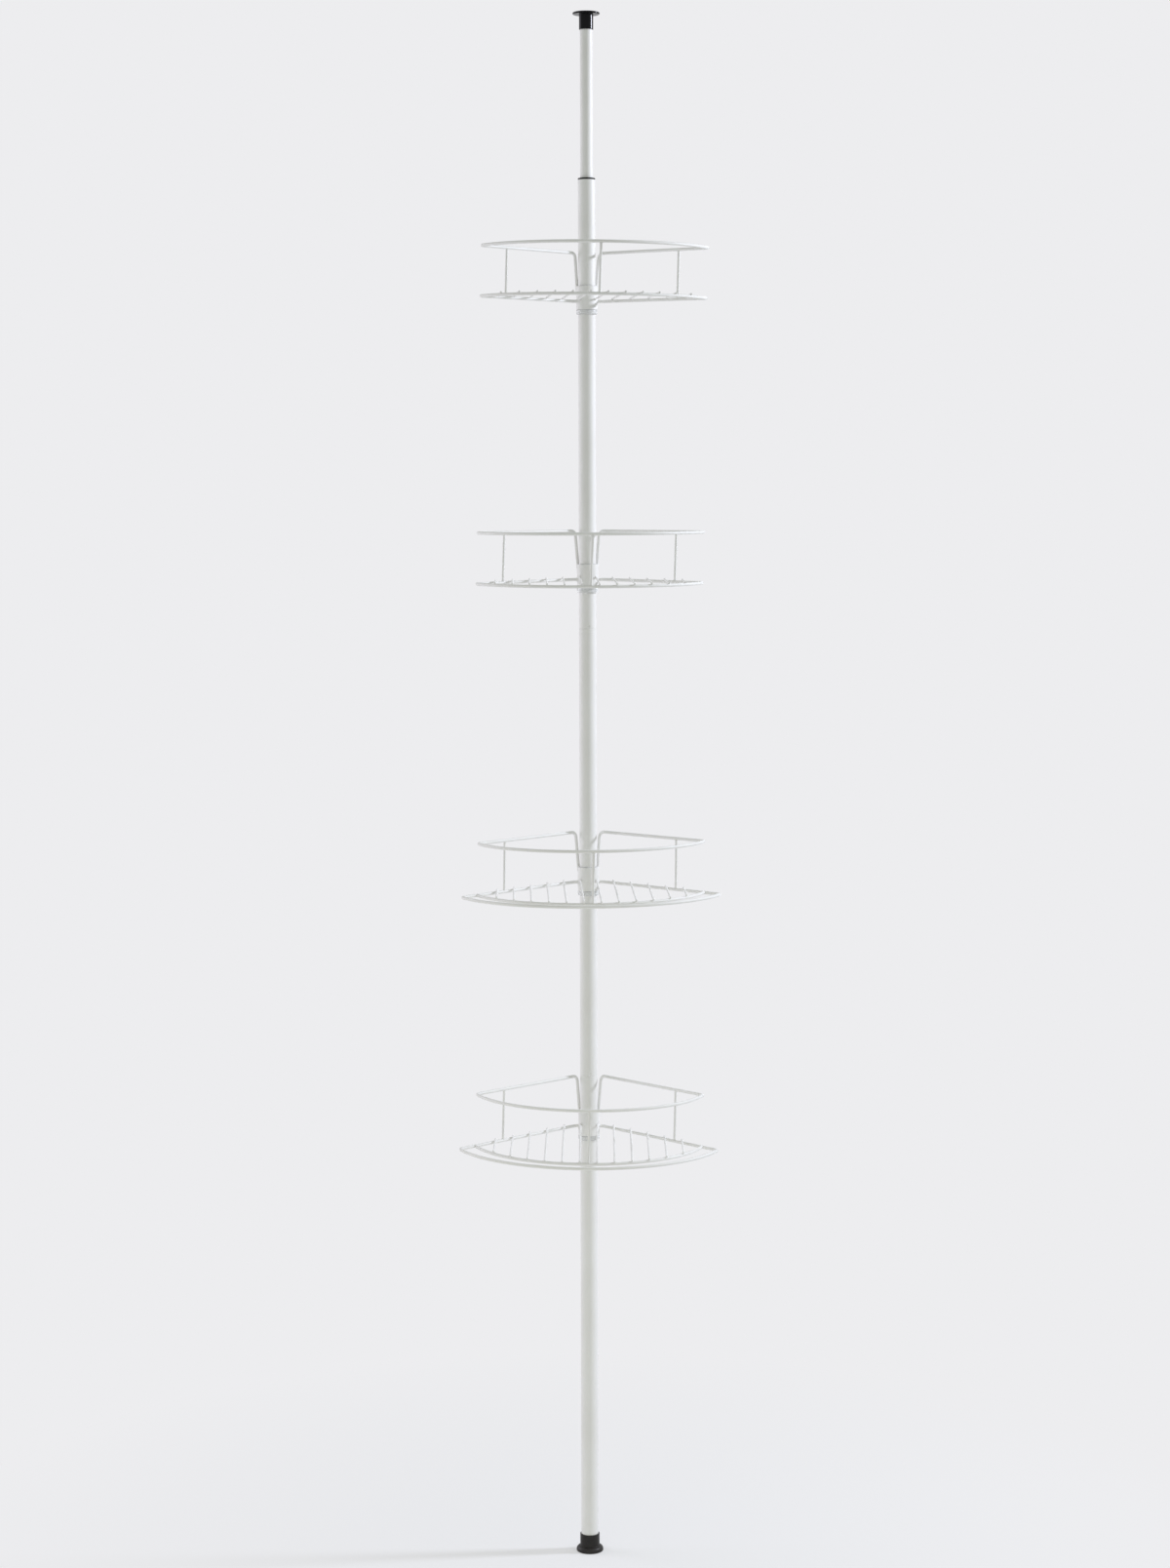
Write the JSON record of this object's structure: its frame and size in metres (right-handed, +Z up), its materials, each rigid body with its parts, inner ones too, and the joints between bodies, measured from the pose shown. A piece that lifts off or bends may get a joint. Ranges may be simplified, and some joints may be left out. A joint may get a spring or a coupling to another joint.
{
  "type": "tension pole shelf unit",
  "caption": "Spring-loaded telescopic pole that jams between floor and ceiling and carries quarter-round wire baskets, which slide, wedge and turn on it.",
  "frame": {"origin": "on the floor, at the centre of the foot", "axes": "+Z up along the pole's axis, -Y towards the fronts of the baskets, +X to the right seen from the front"},
  "size_m": [0.3255, 0.27, 1.982],
  "materials": {
    "white_powder_coat": "white powder coat, satin",
    "black_gloss_plastic": "glossy black moulding",
    "charcoal_rubber": "satin charcoal",
    "charcoal_plastic": "matt charcoal moulding",
    "clear_plastic": "clear, slightly cloudy moulding",
    "spring_steel": "drawn spring wire"
  },
  "bodies": {
    "pole": {"upper_tube": "white_powder_coat", "middle_tube": "white_powder_coat", "lower_tube": "white_powder_coat", "foot_cap": "charcoal_rubber", "guide_bush": "black_gloss_plastic", "spring_seat": "charcoal_plastic", "tension_spring": "spring_steel"},
    "top_rod": {"inner_tube": "white_powder_coat", "ceiling_pad": "black_gloss_plastic", "spring_plug": "charcoal_plastic"},
    "grip_1": {"grip_sleeve_1": "clear_plastic"},
    "basket_1": {"rail_1": "white_powder_coat", "struts_1": "white_powder_coat", "base_frame_1": "white_powder_coat", "cross_wires_1": "white_powder_coat", "collar_1": "white_powder_coat"},
    "grip_2": {"grip_sleeve_2": "clear_plastic"},
    "basket_2": {"rail_2": "white_powder_coat", "struts_2": "white_powder_coat", "base_frame_2": "white_powder_coat", "cross_wires_2": "white_powder_coat", "collar_2": "white_powder_coat"},
    "grip_3": {"grip_sleeve_3": "clear_plastic"},
    "basket_3": {"rail_3": "white_powder_coat", "struts_3": "white_powder_coat", "base_frame_3": "white_powder_coat", "inner_arc_3": "white_powder_coat", "cross_wires_3": "white_powder_coat", "collar_3": "white_powder_coat"},
    "grip_4": {"grip_sleeve_4": "clear_plastic"},
    "basket_4": {"rail_4": "white_powder_coat", "struts_4": "white_powder_coat", "base_frame_4": "white_powder_coat", "inner_arc_4": "white_powder_coat", "cross_wires_4": "white_powder_coat", "collar_4": "white_powder_coat"}
  },
  "joints": [
    {"name": "top_rod_slide", "type": "slide", "parent": "pole", "child": "top_rod", "axis": [0, 0, 1], "range_m": [-0.15, 0], "stiffness_N_per_m": 1250, "springref_m": 0.05, "deforming": ["tension_spring"]},
    {"name": "grip_1_slide", "type": "slide", "parent": "pole", "child": "grip_1", "axis": [0, 0, 1], "range_m": [-0.13, 0.13]},
    {"name": "basket_1_turn", "type": "hinge", "parent": "grip_1", "child": "basket_1", "pos_m": [0, 0, 1.6121], "axis": [0, 0, 1], "continuous": true},
    {"name": "grip_2_slide", "type": "slide", "parent": "pole", "child": "grip_2", "axis": [0, 0, 1], "range_m": [-0.14, 0.13]},
    {"name": "basket_2_turn", "type": "hinge", "parent": "grip_2", "child": "basket_2", "pos_m": [0, 0, 1.255], "axis": [0, 0, 1], "continuous": true},
    {"name": "grip_3_slide", "type": "slide", "parent": "pole", "child": "grip_3", "axis": [0, 0, 1], "range_m": [-0.11, 0.15]},
    {"name": "basket_3_turn", "type": "hinge", "parent": "grip_3", "child": "basket_3", "pos_m": [0, 0, 0.8654], "axis": [0, 0, 1], "continuous": true},
    {"name": "grip_4_slide", "type": "slide", "parent": "pole", "child": "grip_4", "axis": [0, 0, 1], "range_m": [-0.45, 0.11]},
    {"name": "basket_4_turn", "type": "hinge", "parent": "grip_4", "child": "basket_4", "pos_m": [0, 0, 0.5501], "axis": [0, 0, 1], "continuous": true}
  ]
}
